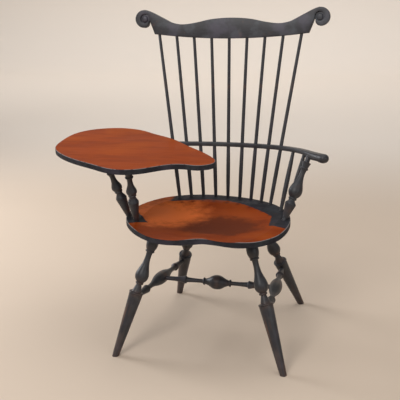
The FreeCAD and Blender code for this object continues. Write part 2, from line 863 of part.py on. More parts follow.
side_stretchers = {}
side_middles = {}
for side_name in ("right", "left"):
    front = at_height(leg_ends["front_" + side_name], side_stretcher_front_height)
    back = at_height(leg_ends["back_" + side_name], side_stretcher_back_height)
    gap = stretcher_end_radius
    start = along(front, back, gap)
    end = along(back, front, gap)
    side_stretchers[side_name] = make_stretcher(start, end, side_profile())
    side_middles[side_name] = mix(front, back, 0.5)
    for leg_name, near, far in (("front_", start, end), ("back_", end, start)):
        bore = socket(near, mix(near, far, 0.5), stretcher_end_radius)
        legs[leg_name + side_name] = legs[leg_name + side_name].cut(bore)

start = along(side_middles["right"], side_middles["left"], stretcher_end_radius / 2)
end = along(side_middles["left"], side_middles["right"], stretcher_end_radius / 2)
medial_stretcher = make_stretcher(start, end, medial_profile())
for side_name, near, far in (("right", start, end), ("left", end, start)):
    bore = socket(near, mix(near, far, 0.5), stretcher_end_radius)
    side_stretchers[side_name] = side_stretchers[side_name].cut(bore)

# Spindles, posts and what they stand in
seat = make_seat_blank()
for top, foot in leg_ends.values():
    start = along(top, foot, -leg_socket_depth)
    seat = seat.cut(socket(start, along(top, foot, leg_socket_depth), leg_top_radius))

rail = make_rail_blank()
crest = make_crest_blank()
long_radii = (spindle_seat_radius, spindle_swell_radius, spindle_top_radius, spindle_crest_socket)
spindles = {}
pins = [make_pin(index) for index in (-spindle_pairs, spindle_pairs)]
pin_bores = [make_pin(index, glue_clearance) for index in (-spindle_pairs, spindle_pairs)]
for count, index in enumerate(spindle_numbers, 1):
    seat_point, crest_point = long_spindle_line(index)
    rail_point = on_rail_plane(seat_point, crest_point)
    spindle, line = make_spindle(seat_point, crest_point, long_radii, rail_point)
    start, end = line[0], line[3]
    seat = seat.cut(socket(start, along(seat_point, crest_point, cut_overrun), spindle_seat_radius))
    crest = crest.cut(socket(end, along(crest_point, seat_point, cut_overrun), spindle_top_radius))
    low = along(rail_point, start, rail_thickness)
    high = along(rail_point, end, rail_thickness)
    rail = rail.cut(rod(low, high, spindle_rail_radius + glue_clearance))
    for bore in pin_bores:
        spindle = spindle.cut(bore)
    spindles["long_spindle_" + str(count)] = spindle
for bore in pin_bores:
    crest = crest.cut(bore)

short_radii = (short_radius, spindle_swell_radius, short_radius, short_rail_socket)
for count, (below, above) in enumerate(zip(short_seat_shares, short_rail_shares), 1):
    seat_point = seat_place(*below)
    rail_point = on_rail_plane(seat_point, arm_point(*above), -rail_thickness / 2)
    spindle, line = make_spindle(seat_point, rail_point, short_radii)
    seat = seat.cut(socket(line[0], along(seat_point, rail_point, cut_overrun), short_radius))
    rail = rail.cut(socket(line[3], along(rail_point, seat_point, cut_overrun), short_radius))
    spindles["short_spindle_" + str(count)] = spindle

tablet = ease_rim(make_tablet_blank(), tablet_underside + tablet_thickness)
lap = make_tablet_blank()
lap.translate(V(0, 0, -glue_clearance))
rail = rail.cut(lap)

post_foot = seat_place(*arm_post_seat_shares)
knuckle_waist = knuckle_depth * knuckle_waist_share
post_drop = rail_thickness / 2 + knuckle_waist
post_top = on_rail_plane(post_foot, arm_point(*arm_post_top_shares), -post_drop)
posts = {}
posts["arm_post"], line = make_post(
    post_foot,
    post_top,
    arm_post_turning_shares,
    arm_post_bulb_radius,
    knuckle_waist + post_top_socket,
)
post_bore = socket(line[3], along(line[2], line[1], cut_overrun), post_top_radius)
rail = rail.cut(post_bore)
knuckle = make_knuckle().cut(post_bore)
post_lines = [line]
for name, below, above in (
    ("tablet_post_outer", outer_post_seat_shares, outer_post_top_shares),
    ("tablet_post_inner", inner_post_seat_shares, inner_post_top_shares),
):
    posts[name], line = make_post(
        seat_place(*below),
        tablet_place(*above),
        tablet_post_turning_shares,
        tablet_post_bulb_radius,
        post_top_socket,
    )
    tablet = tablet.cut(socket(line[3], along(line[2], line[1], cut_overrun), post_top_radius))
    post_lines.append(line)
for line in post_lines:
    seat = seat.cut(socket(line[0], along(line[1], line[2], cut_overrun), post_seat_radius))

screws = []
for share in screw_places_shares:
    middle = mix(stub_path[0], stub_path[1], share)
    foot = middle - V(0, 0, rail_thickness / 2 - screw_recess)
    screws.append(make_screw(foot))
    bore = make_screw(foot, glue_clearance)
    well = Part.makeCylinder(screw_head_radius + glue_clearance, cut_overrun, foot, V(0, 0, -1))
    rail = rail.cut(bore).cut(well)
    tablet = tablet.cut(bore)

pieces = {"seat": solid_of(seat)}
pieces.update({"leg_" + name: solid_of(leg) for name, leg in legs.items()})
for name, stretcher in side_stretchers.items():
    pieces["side_stretcher_" + name] = solid_of(stretcher)
pieces["medial_stretcher"] = medial_stretcher
pieces["arm_rail"] = solid_of(rail)
pieces["arm_knuckle"] = solid_of(knuckle)
pieces.update(posts)
pieces["writing_tablet"] = solid_of(tablet)
pieces["tablet_screws"] = Part.makeCompound(screws)
pieces.update(spindles)
pieces["crest_rail"] = solid_of(crest)
pieces["crest_pins"] = Part.makeCompound(pins)

# The origin is on the floor under the middle of the whole chair's box
whole = FreeCAD.BoundBox()
for shape in pieces.values():
    whole.add(shape.optimalBoundingBox(False))
to_origin = V(-whole.Center.x, -whole.Center.y, 0)
print("moved by", round(to_origin.x, 3), round(to_origin.y, 3), "box", whole)
for name, shape in pieces.items():
    shape.translate(to_origin)
    save(shape, name)
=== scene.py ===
"""Dress a writing arm Windsor chair: worn black paint over turned wood, red-brown seat and tablet.

The frame holds every wooden piece at its real size and place. This script paints those pieces,
carves the crest rail's scrolls, and sets a pale floor, soft light and the camera.

All lengths are in metres. +Z is up, the floor is at zero, the sitter faces -Y and the sitter's left
is +X.
"""
import json
import logging
import math
from dataclasses import dataclass
from enum import Enum
from typing import Any, ClassVar

import bpy
import numpy as np
from mathutils import Matrix, Vector

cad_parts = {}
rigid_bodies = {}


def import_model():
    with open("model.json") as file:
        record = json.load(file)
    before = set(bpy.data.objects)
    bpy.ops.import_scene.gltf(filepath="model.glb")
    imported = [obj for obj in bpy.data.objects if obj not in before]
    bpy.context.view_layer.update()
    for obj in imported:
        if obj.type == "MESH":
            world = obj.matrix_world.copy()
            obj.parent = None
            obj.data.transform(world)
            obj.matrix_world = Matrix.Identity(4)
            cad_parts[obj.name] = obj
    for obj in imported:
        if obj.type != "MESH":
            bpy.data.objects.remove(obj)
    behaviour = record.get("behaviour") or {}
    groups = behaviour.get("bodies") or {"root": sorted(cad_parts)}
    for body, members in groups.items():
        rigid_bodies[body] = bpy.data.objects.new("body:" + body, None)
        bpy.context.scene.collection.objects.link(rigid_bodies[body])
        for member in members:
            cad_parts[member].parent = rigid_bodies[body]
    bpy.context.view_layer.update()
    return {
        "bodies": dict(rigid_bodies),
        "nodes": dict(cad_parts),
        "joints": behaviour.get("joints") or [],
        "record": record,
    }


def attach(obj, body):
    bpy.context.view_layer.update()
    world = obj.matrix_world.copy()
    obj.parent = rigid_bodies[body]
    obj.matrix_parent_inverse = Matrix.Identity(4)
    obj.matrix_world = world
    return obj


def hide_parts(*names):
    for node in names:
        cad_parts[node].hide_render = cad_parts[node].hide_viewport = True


LOG = logging.getLogger("chair")
LONG_SPINDLES = tuple(f"long_spindle_{count}" for count in range(1, 10))
SHORT_SPINDLES = ("short_spindle_1", "short_spindle_2")
Colour = tuple[float, float, float]
Point = tuple[float, float, float]
Spot = tuple[float, float]
Span = tuple[float, float]


class Wire:
    """One output of a node, on which Python arithmetic adds Math nodes."""

    def __init__(self, sheet: "Sheet", socket: bpy.types.NodeSocket) -> None:
        """Keep the node tree and the output socket."""
        self.sheet = sheet
        self.socket = socket

    def _math(self, operation: str, *values: "Wire | float") -> "Wire":
        """Add a Math node.

        Args:
            operation: the node's operation.
            values: its inputs, in order.

        Returns:
            The result.
        """
        inputs = {index: value for index, value in enumerate(values)}
        return self.sheet.node("ShaderNodeMath", {"operation": operation}, inputs)

    def __add__(self, other: "Wire | float") -> "Wire":
        """Return the sum."""
        return self._math("ADD", self, other)

    def __radd__(self, other: float) -> "Wire":
        """Return the sum."""
        return self._math("ADD", other, self)

    def __sub__(self, other: "Wire | float") -> "Wire":
        """Return the difference."""
        return self._math("SUBTRACT", self, other)

    def __rsub__(self, other: float) -> "Wire":
        """Return the difference."""
        return self._math("SUBTRACT", other, self)

    def __mul__(self, other: "Wire | float") -> "Wire":
        """Return the product."""
        return self._math("MULTIPLY", self, other)

    def __rmul__(self, other: float) -> "Wire":
        """Return the product."""
        return self._math("MULTIPLY", other, self)

    def __truediv__(self, other: "Wire | float") -> "Wire":
        """Return the quotient."""
        return self._math("DIVIDE", self, other)

    def exp(self) -> "Wire":
        """Return e to this power."""
        return self._math("EXPONENT", self)

    def above(self, low: float, high: float) -> "Wire":
        """Return a smooth step.

        Args:
            low: where it is 0.
            high: where it is 1, which may be below low.

        Returns:
            The step.
        """
        settings = {"interpolation_type": "SMOOTHSTEP"}
        values = {"Value": self, "From Min": low, "From Max": high}
        return self.sheet.node("ShaderNodeMapRange", settings, values)

    def most(self, other: "Wire | float") -> "Wire":
        """Return the larger of two values."""
        return self._math("MAXIMUM", self, other)

    def least(self, other: "Wire | float") -> "Wire":
        """Return the smaller of two values."""
        return self._math("MINIMUM", self, other)


@dataclass(frozen=True)
class Noise:
    """Soft noise, its place drawn out along some axes: patches to the metre, and how they break."""

    scale: float
    detail: float = 3
    rough: float = 0.5
    stretch: Point | None = None


class Sheet:
    """The node tree of one material."""

    def __init__(self, name: str) -> None:
        """Start an empty material of that name."""
        self.material = bpy.data.materials.new(name)
        self.material.use_nodes = True
        self.tree = self.material.node_tree
        self.tree.nodes.clear()

    def node(
        self, kind: str, settings: dict[str, Any], inputs: dict[Any, Any], output: Any = 0
    ) -> Wire:
        """Add one node.

        Args:
            kind: the node's type.
            settings: its own properties, which are set first.
            inputs: values or wires by socket name or number.
            output: the name or number of the output that is wanted.

        Returns:
            That output.
        """
        made = self.tree.nodes.new(kind)
        for name, value in settings.items():
            setattr(made, name, value)
        for name, value in inputs.items():
            if isinstance(value, Wire):
                self.tree.links.new(value.socket, made.inputs[name])
            else:
                made.inputs[name].default_value = value
        return Wire(self, made.outputs[output])

    def place(self, turn: Matrix | None = None, origin: Point = (0, 0, 0)) -> Wire:
        """Return the place on the piece, in the axes of a turn about an origin.

        Args:
            turn: a rotation whose columns are the new axes, or None for the frame's own.
            origin: the point that reads as zero.

        Returns:
            The rotated and shifted object coordinates.
        """
        where = self.node("ShaderNodeTexCoord", {}, {}, "Object")
        back = (turn or Matrix.Identity(3)).transposed()
        shift = -(back @ Vector(origin))
        inputs = {"Vector": where, "Location": shift, "Rotation": back.to_euler("XYZ")}
        return self.node("ShaderNodeMapping", {"vector_type": "POINT"}, inputs)

    def stretched(self, place: Wire, scale: Point) -> Wire:
        """Return a place with each axis scaled."""
        inputs = {0: place, 1: scale}
        return self.node("ShaderNodeVectorMath", {"operation": "MULTIPLY"}, inputs)

    def parts(self, vector: Wire) -> tuple[Wire, Wire, Wire]:
        """Return the three parts of a vector."""
        split = self.node("ShaderNodeSeparateXYZ", {}, {"Vector": vector}, "X")
        outputs = split.socket.node.outputs
        return split, Wire(self, outputs["Y"]), Wire(self, outputs["Z"])

    def normal(self) -> tuple[Wire, Wire, Wire]:
        """Return the three parts of the surface's normal."""
        return self.parts(self.node("ShaderNodeNewGeometry", {}, {}, "Normal"))

    def noise(self, place: Wire, kind: Noise) -> Wire:
        """Add noise.

        Args:
            place: where on the piece.
            kind: which noise.

        Returns:
            The noise, from 0 to 1.
        """
        if kind.stretch:
            place = self.stretched(place, kind.stretch)
        inputs = {"Vector": place, "Scale": kind.scale, "Detail": kind.detail}
        inputs["Roughness"] = kind.rough
        return self.node("ShaderNodeTexNoise", {}, inputs, "Fac")

    def blend(self, share: Wire | float, under: Any, over: Any) -> Wire:
        """Lay one colour over another.

        Args:
            share: how far the upper one hides the lower one, from 0 to 1.
            under: the lower colour, as a wire or three numbers.
            over: the upper colour.

        Returns:
            The mixed colour.
        """
        inputs = {0: share, 6: opaque(under), 7: opaque(over)}
        return self.node("ShaderNodeMix", {"data_type": "RGBA"}, inputs, 2)

    def bump(self, height: Wire, distance: float, strength: float = 1.0) -> Wire:
        """Turn a height into a normal.

        Args:
            height: the height.
            distance: how far, in metres, a height of 1 stands proud.
            strength: how strongly the normal follows it.

        Returns:
            The normal.
        """
        inputs = {"Height": height, "Distance": distance, "Strength": strength}
        return self.node("ShaderNodeBump", {}, inputs, "Normal")

    def finish(self, **sockets: Any) -> bpy.types.Material:
        """Close the material with one Principled shader.

        Args:
            sockets: its inputs, by name with underscores for spaces.

        Returns:
            The material.
        """
        inputs = {name.replace("_", " "): value for name, value in sockets.items()}
        shader = self.node("ShaderNodeBsdfPrincipled", {}, inputs)
        self.node_out(shader)
        return self.material

    def node_out(self, shader: Wire) -> None:
        """Link a shader to the material's output."""
        out = self.tree.nodes.new("ShaderNodeOutputMaterial")
        self.tree.links.new(shader.socket, out.inputs["Surface"])


def opaque(colour: Any) -> Any:
    """Return a colour with its alpha, or a wire as it is."""
    return colour if isinstance(colour, Wire) else (*colour, 1.0)


class Turning(Enum):
    """The kinds of lathe-turned piece, each with the shares of its length that rub bare."""

    LEG = (0.162, 0.418, 0.5, 0.985)
    SIDE_STRETCHER = (0.205, 0.5, 0.795)
    CROSS_STRETCHER = (0.19, 0.385, 0.5, 0.615, 0.81)
    POST = (0.33, 0.43, 0.81)
    SPINDLE = (0.32, 0.75)

    @property
    def has_taper(self) -> bool:
        """Whether it ends in a long plain taper, as only a leg does."""
        return self is Turning.LEG


@dataclass(frozen=True)
class Lathe:
    """The middle line of a turned piece."""

    SLICES: ClassVar[int] = 24
    FEWEST_POINTS: ClassVar[int] = 8

    base: Vector
    axes: Matrix
    length: float

    @staticmethod
    def of(node: bpy.types.Object) -> "Lathe":
        """Find a turned piece's middle line from its mesh.

        The longest principal direction of the points gives a first line. The points are then
        sliced across it, and the middles of the slices' boxes give the line itself by least
        squares: middle = start + slope * height.

        Args:
            node: the piece's object.

        Returns:
            The line from its upper or first end, with +Z of the axes along it.
        """
        points = np.empty(len(node.data.vertices) * 3)
        node.data.vertices.foreach_get("co", points)
        points = points.reshape(-1, 3)
        middle = points.mean(0)
        _, directions = np.linalg.eigh(np.cov((points - middle).T))
        axes = directions[:, ::-1]
        local = (points - middle) @ axes
        edges = np.linspace(local[:, 0].min(), local[:, 0].max(), Lathe.SLICES + 1)
        slot = np.clip(np.digitize(local[:, 0], edges) - 1, 0, Lathe.SLICES - 1)
        slices = [local[slot == index] for index in range(Lathe.SLICES)]
        slices = [cut for cut in slices if len(cut) > Lathe.FEWEST_POINTS]
        middles = np.array([(cut.min(0) + cut.max(0)) / 2 for cut in slices])
        slope_a = np.polyfit(middles[:, 0], middles[:, 1], 1)
        slope_b = np.polyfit(middles[:, 0], middles[:, 2], 1)
        along = axes @ np.array([1.0, slope_a[0], slope_b[0]])
        along = along / np.linalg.norm(along)
        foot = middle + axes @ np.array([0.0, slope_a[1], slope_b[1]])
        if along[2] > 0:
            along = -along
        heights = (points - foot) @ along
        base = Vector(foot + along * heights.min())
        third = Vector(along)
        first = third.orthogonal().normalized()
        turn = Matrix((first, third.cross(first), third)).transposed()
        return Lathe(base, turn, float(heights.max() - heights.min()))


@dataclass(frozen=True)
class BlackPaint:
    """Old black paint with a satin sheen, mottled grey and rubbed brown where hands and feet go."""

    coal: Colour = (0.026, 0.025, 0.030)
    green_grey: Colour = (0.055, 0.062, 0.068)
    plum_grey: Colour = (0.063, 0.055, 0.075)
    brown: Colour = (0.150, 0.072, 0.046)
    roughness: float = 0.46
    mottle: float = 0.55
    rub: float = 0.55
    rub_reach: float = 0.012
    patches: Noise = Noise(16.0, 4, 0.6)
    bare_span: Span = (0.60, 0.78)
    worn_span: Span = (0.42, 0.66)
    streaks: Noise = Noise(42.0, 3, 0.55, (1.0, 1.0, 0.10))
    streak_span: Span = (0.44, 0.62)
    streak_share: float = 0.8
    taper_span: Span = (0.54, 0.66)
    grain: Noise = Noise(260.0, 4, 0.6)
    grain_span: Span = (0.35, 0.75)
    grain_share: float = 0.25
    cloud: Noise = Noise(22.0, 3, 0.55)
    cloud_span: Span = (0.45, 0.70)
    second_cloud: Noise = Noise(13.0, 3, 0.55, (1.0, 1.0, -1.0))
    second_cloud_span: Span = (0.48, 0.70)
    brown_share: float = 0.85
    along_board: Point = (0.12, 1.0, 1.0)
    along_lathe: Point = (1.0, 1.0, 0.07)
    cloud_dulls: float = 0.16
    grain_dulls: float = 0.12
    rub_dulls: float = 0.10
    grain_height: float = 0.7
    cloud_height: float = 0.6
    rub_depth: float = 0.3
    bump: Span = (0.0005, 0.6)
    specular: float = 0.42
    coat_weight: float = 0.06
    coat_roughness: float = 0.30

    def material(
        self, name: str, lathe: Lathe | None = None, turning: Turning | None = None
    ) -> bpy.types.Material:
        """Make the paint for one piece.

        Args:
            name: the material's name.
            lathe: the middle line of a turned piece, along which its grain runs.
            turning: which kind of turned piece it is.

        Returns:
            The material.
        """
        sheet = Sheet(name)
        if lathe is None:
            place = sheet.place()
            grain_place = sheet.stretched(place, self.along_board)
        else:
            place = sheet.place(lathe.axes, tuple(lathe.base))
            grain_place = sheet.stretched(place, self.along_lathe)
        rubbed = self.rubbed(sheet, place, lathe, turning)
        colour, roughness, height = self.coat(sheet, place, grain_place, rubbed)
        return sheet.finish(
            Base_Color=colour,
            Roughness=roughness,
            Normal=sheet.bump(height, *self.bump),
            Specular_IOR_Level=self.specular,
            Coat_Weight=self.coat_weight,
            Coat_Roughness=self.coat_roughness,
        )

    def rubbed(
        self, sheet: Sheet, place: Wire, lathe: Lathe | None, turning: Turning | None
    ) -> Wire:
        """Return how far the paint is rubbed, from 0 to 1.

        On a turned piece it is the sum over its worn places h of exp(-((z - h) / reach)^2),
        broken up by noise, with long streaks down a taper. On any other piece it is noise alone.

        Args:
            sheet: the material's node tree.
            place: where on the piece, with Z along a turned one.
            lathe: the middle line of a turned piece.
            turning: which kind of turned piece it is.

        Returns:
            The rubbing.
        """
        patches = sheet.noise(place, self.patches)
        rubbed = patches.above(*self.bare_span) * self.rub
        if lathe is None or turning is None:
            return rubbed
        height = sheet.parts(place)[2]
        for share in turning.value:
            off = (height - share * lathe.length) / self.rub_reach
            worn = (off * off * -1.0).exp()
            rubbed = rubbed + worn * patches.above(*self.worn_span) * self.rub
        if turning.has_taper:
            low = (height / lathe.length).above(*self.taper_span)
            streaks = sheet.noise(place, self.streaks).above(*self.streak_span)
            rubbed = rubbed + low * streaks * self.streak_share
        return rubbed.least(1.0)

    def coat(
        self, sheet: Sheet, place: Wire, grain_place: Wire, rubbed: Wire
    ) -> tuple[Wire, Wire, Wire]:
        """Mix the paint.

        Args:
            sheet: the material's node tree.
            place: where on the piece.
            grain_place: the same, drawn out along the wood's grain.
            rubbed: how far the paint is rubbed, from 0 to 1.

        Returns:
            Its colour, roughness and height.
        """
        grain = sheet.noise(grain_place, self.grain)
        cloud = sheet.noise(place, self.cloud)
        greener = cloud.above(*self.cloud_span) * self.mottle
        plummier = sheet.noise(place, self.second_cloud).above(*self.second_cloud_span)
        colour = sheet.blend(greener, self.coal, self.green_grey)
        colour = sheet.blend(plummier * self.mottle, colour, self.plum_grey)
        streak = grain.above(*self.grain_span) * self.grain_share
        colour = sheet.blend(streak, colour, self.green_grey)
        colour = sheet.blend(rubbed * self.brown_share, colour, self.brown)
        uneven = (cloud - 0.5) * self.cloud_dulls + (grain - 0.5) * self.grain_dulls
        roughness = uneven + rubbed * self.rub_dulls + self.roughness
        height = grain * self.grain_height + cloud * self.cloud_height - rubbed * self.rub_depth
        return colour, roughness, height


@dataclass(frozen=True)
class RedPaint:
    """Worn, polished red-brown paint on a level top, with black round the board's edge."""

    warm: Colour = (0.300, 0.050, 0.007)
    deep: Colour = (0.200, 0.030, 0.006)
    bright: Colour = (0.380, 0.078, 0.012)
    # Light grey of the eased top edge: partly wear, partly a painted highlight
    wear_and_highlight_edge: Colour = (0.29, 0.27, 0.26)
    roughness: float = 0.46
    fine: Noise = Noise(170.0, 5, 0.65, (0.05, 1.0, 1.0))
    fine_span: Span = (0.45, 0.78)
    fine_share: float = 0.35
    broad: Noise = Noise(22.0, 3, 0.55, (0.22, 1.0, 1.0))
    broad_span: Span = (0.38, 0.66)
    broad_share: float = 0.65
    cloud: Noise = Noise(6.5, 3, 0.5)
    cloud_span: Span = (0.45, 0.66)
    cloud_share: float = 0.45
    bare: Noise = Noise(16.0, 4, 0.6)
    bare_span: Span = (0.62, 0.80)
    bare_share: float = 0.5
    wobble: Noise = Noise(60.0, 2, 0.5)
    level_span: Span = (0.93, 0.97)
    level_wobble: float = 0.05
    corner_from: Span = (0.25, 0.75)
    corner_to: Span = (0.985, 0.93)
    worn_span: Span = (0.30, 0.46)
    edge_wear_and_highlight_share: float = 0.85
    noise_dulls: float = 0.14
    fine_height: float = 0.5
    broad_height: float = 0.4
    bump: Span = (0.0004, 0.5)
    specular: float = 0.015
    black: BlackPaint = BlackPaint()

    def top(self, sheet: Sheet, place: Wire) -> tuple[Wire, Wire, Wire]:
        """Mix the red paint, with the grain along X.

        Args:
            sheet: the material's node tree.
            place: where on the piece.

        Returns:
            Its colour, roughness and height.
        """
        fine, broad = sheet.noise(place, self.fine), sheet.noise(place, self.broad)
        cloud = sheet.noise(place, self.cloud)
        deeper = broad.above(*self.broad_span) * self.broad_share
        brighter = cloud.above(*self.cloud_span) * self.cloud_share
        lined = fine.above(*self.fine_span) * self.fine_share
        colour = sheet.blend(deeper, self.warm, self.deep)
        colour = sheet.blend(brighter, colour, self.bright)
        colour = sheet.blend(lined, colour, self.deep)
        uneven = (fine - 0.5) * self.noise_dulls + (cloud - 0.5) * self.noise_dulls
        height = fine * self.fine_height + broad * self.broad_height
        return colour, uneven + self.roughness, height

    def material(self, name: str, board: "Board") -> bpy.types.Material:
        """Make the two-coloured finish of a board.

        Args:
            name: the material's name.
            board: the board, which says where its top is black.

        Returns:
            The material.
        """
        sheet = Sheet(name)
        place = sheet.place()
        up = sheet.normal()[2]
        grain_place = sheet.stretched(place, self.black.along_board)
        bare = sheet.noise(place, self.bare).above(*self.bare_span) * self.bare_share
        black_colour, black_roughness, black_height = self.black.coat(
            sheet, place, grain_place, bare
        )
        red_colour, red_roughness, red_height = self.top(sheet, place)
        red_colour = board.shade(sheet, place, red_colour)
        wobble = sheet.noise(place, self.wobble)
        red = (up + (wobble - 0.5) * self.level_wobble).above(*self.level_span)
        red = red * (1.0 - board.painted_black(sheet, place, wobble))
        # The light grey line round the eased top edge is partly wear and partly a painted highlight
        corner = up.above(*self.corner_from) * up.above(*self.corner_to)
        worn = corner * wobble.above(*self.worn_span) * self.edge_wear_and_highlight_share
        colour = sheet.blend(red, black_colour, red_colour)
        colour = sheet.blend(worn, colour, self.wear_and_highlight_edge)
        roughness = black_roughness + (red_roughness - black_roughness) * red
        height = black_height + (red_height - black_height) * red
        return sheet.finish(
            Base_Color=colour,
            Roughness=roughness,
            Normal=sheet.bump(height, *self.bump),
            Specular_IOR_Level=self.specular,
        )


class Board:
    """A red-topped board, as far as its paint is concerned."""

    def painted_black(self, sheet: Sheet, place: Wire, wobble: Wire) -> Wire | float:
        """Return where the top is black, from 0 to 1: nowhere on a plain board."""
        return 0.0

    def shade(self, sheet: Sheet, place: Wire, colour: Wire) -> Wire:
        """Return the red with this board's own patches and painted light and shade: none on a plain
        board.
        """
        return colour


@dataclass
class SeatBoard(Board):
    """The dished seat, with a black band round the spindles and a black patch at the posts."""

    node: str = "seat"
    band_shares: tuple[float, ...] = (-5.95, -0.196, -1.555, 0.2404, 0.1225)
    band_start: Span = (-0.100, -0.084)
    band_shoulder: Spot = (0.3004, 0.0006)
    band_tip: Spot = (0.3130, -0.100)
    band_end: Spot = (0.372, -0.128)
    patch_tip: Spot = (-0.0908, -0.1376)
    patch_back: Spot = (-0.1502, -0.0632)
    patch_front: Spot = (-0.1324, -0.1633)
    brush_wobble: float = 0.008
    brush_edge: Span = (-0.0015, 0.0015)
    tip_edge: float = 0.004
    uneven: Noise = Noise(26.0, 4, 0.65)
    uneven_reach: float = 1.7
    # A darker patch towards the front of the seat
    dark_middle: Spot = (0.150, -0.108)
    dark_size: Spot = (0.158, 0.112)
    dark_span: Span = (1.25, 0.35)
    dark_share: float = 0.8
    dark_colour: Colour = (0.100, 0.021, 0.008)
    # Painted light: a brighter pool towards the tablet's side of the seat, where the lamps leave it
    # dim
    painted_light_middle: Spot = (-0.060, -0.020)
    painted_light_size: Spot = (0.150, 0.160)
    painted_light_span: Span = (1.3, 0.1)
    painted_light_share: float = 0.75
    painted_light_colour: Colour = (0.920, 0.205, 0.040)
    # Painted shadows at the feet of the long spindles
    spindle_shadow_size: Spot = (0.0065, 0.0065)
    spindle_shadow_share: float = 0.75
    spindle_shadow_places: tuple[Spot, ...] = (
        (-0.048, 0.095),
        (-0.011, 0.110),
        (0.023, 0.121),
        (0.063, 0.124),
        (0.113, 0.118),
        (0.155, 0.112),
        (0.201, 0.092),
        (0.254, 0.054),
        (0.290, 0.012),
    )

    def painted_black(self, sheet: Sheet, place: Wire, wobble: Wire) -> Wire:
        """Return where the top is black.

        The band lies behind the curve y = a x^4 + b x^3 + c x^2 + d x + e, or to the right of
        the line from its shoulder to its tip. It begins at its start and ends at the line from
        its tip to the seat's side. The patch lies beyond two lines that meet at its tip.

        Args:
            sheet: the material's node tree.
            place: where on the seat.
            wobble: noise from 0 to 1 that makes the brushed edges uneven.

        Returns:
            The black's share, from 0 to 1.
        """
        x, y, _ = sheet.parts(place)
        shift = (wobble - 0.5) * self.brush_wobble
        curve: Any = self.band_shares[0]
        for share in self.band_shares[1:]:
            curve = x * curve + share
        band = (y + shift - curve).above(*self.brush_edge)
        band = band.most(self.beyond(x, y, shift, self.band_shoulder, self.band_tip))
        band = band * (x + shift).above(*self.band_start)
        left_of_tip = x.above(self.band_tip[0], self.band_tip[0] - self.tip_edge)
        behind_end = self.beyond(x, y, shift, self.band_tip, self.band_end)
        band = band * behind_end.most(left_of_tip)
        patch = self.beyond(x, y, shift, self.patch_tip, self.patch_back)
        patch = patch * self.beyond(x, y, shift, self.patch_front, self.patch_tip)
        return band.most(patch)

    def beyond(self, x: Wire, y: Wire, shift: Wire, start: Spot, end: Spot) -> Wire:
        """Divide the seat's top by a line, as it is seen from above.

        Args:
            x: the place's x.
            y: the place's y.
            shift: how far the line is moved there.
            start: where the line starts.
            end: where it ends.

        Returns:
            1 on the left of the line from start to end, and 0 on its right.
        """
        step_x, step_y = end[0] - start[0], end[1] - start[1]
        length = math.hypot(step_x, step_y)
        off = (y - start[1]) * (step_x / length) - (x - start[0]) * (step_y / length)
        return (off + shift).above(*self.brush_edge)

    def shade(self, sheet: Sheet, place: Wire, colour: Wire) -> Wire:
        """Return the red, darker in a patch towards the front, with painted light in a pool towards
        the tablet's side.

        There is a painted shadow at the foot of each long spindle, exp(-(d / size)^2) strong at a
        distance d.

        Args:
            sheet: the material's node tree.
            place: where on the seat.
            colour: the plain red.

        Returns:
            The worn red.
        """
        x, y, _ = sheet.parts(place)
        uneven = (sheet.noise(place, self.uneven) - 0.5) * self.uneven_reach
        spread = self.spread(x, y, self.dark_middle, self.dark_size) + uneven
        dark = spread.above(*self.dark_span) * self.dark_share
        colour = sheet.blend(dark, colour, self.dark_colour)
        # Painted light: the red is made brighter in a pool towards the tablet's side
        spread = self.spread(x, y, self.painted_light_middle, self.painted_light_size) + uneven
        light = spread.above(*self.painted_light_span) * self.painted_light_share
        colour = sheet.blend(light, colour, self.painted_light_colour)
        # A painted shadow at the foot of each long spindle
        for spot in self.spindle_shadow_places:
            spindle_shadow = (self.spread(x, y, spot, self.spindle_shadow_size) * -1.0).exp() * self.spindle_shadow_share
            colour = sheet.blend(spindle_shadow, colour, self.dark_colour)
        return colour

    def spread(self, x: Wire, y: Wire, middle: Spot, size: Spot) -> Wire:
        """Measure how far out a place is in an ellipse.

        Args:
            x: the place's x.
            y: the place's y.
            middle: the ellipse's middle.
            size: its half width and half depth.

        Returns:
            The square of the distance, which is 1 on the ellipse.
        """
        across = (x - middle[0]) / size[0]
        ahead = (y - middle[1]) / size[1]
        return across * across + ahead * ahead

    def dress(self, frame: dict[str, Any]) -> None:
        """Paint the seat."""
        paint(frame["nodes"][self.node], RedPaint().material("seat_paint", self))


@dataclass
class Undercarriage:
    """Four turned legs and an H of turned stretchers."""

    legs: tuple[str, ...] = (
        "leg_front_right",
        "leg_front_left",
        "leg_back_right",
        "leg_back_left",
    )
    side_stretchers: tuple[str, ...] = ("side_stretcher_right", "side_stretcher_left")
    cross_stretcher: str = "medial_stretcher"
    finish: BlackPaint = BlackPaint()

    def dress(self, frame: dict[str, Any]) -> None:
        """Paint the legs and stretchers."""
        for name in self.legs:
            paint_turned(frame["nodes"][name], self.finish, Turning.LEG)
        for name in self.side_stretchers:
            paint_turned(frame["nodes"][name], self.finish, Turning.SIDE_STRETCHER)
        paint_turned(
            frame["nodes"][self.cross_stretcher], self.finish, Turning.CROSS_STRETCHER
        )


@dataclass
class SpindleFan:
    """The long spindles of the back and the short ones under the arm."""

    spindles: tuple[str, ...] = LONG_SPINDLES + SHORT_SPINDLES
    finish: BlackPaint = BlackPaint(rub=0.8, mottle=0.4)

    def dress(self, frame: dict[str, Any]) -> None:
        """Paint every spindle along its own grain."""
        for name in self.spindles:
            paint_turned(frame["nodes"][name], self.finish, Turning.SPINDLE)


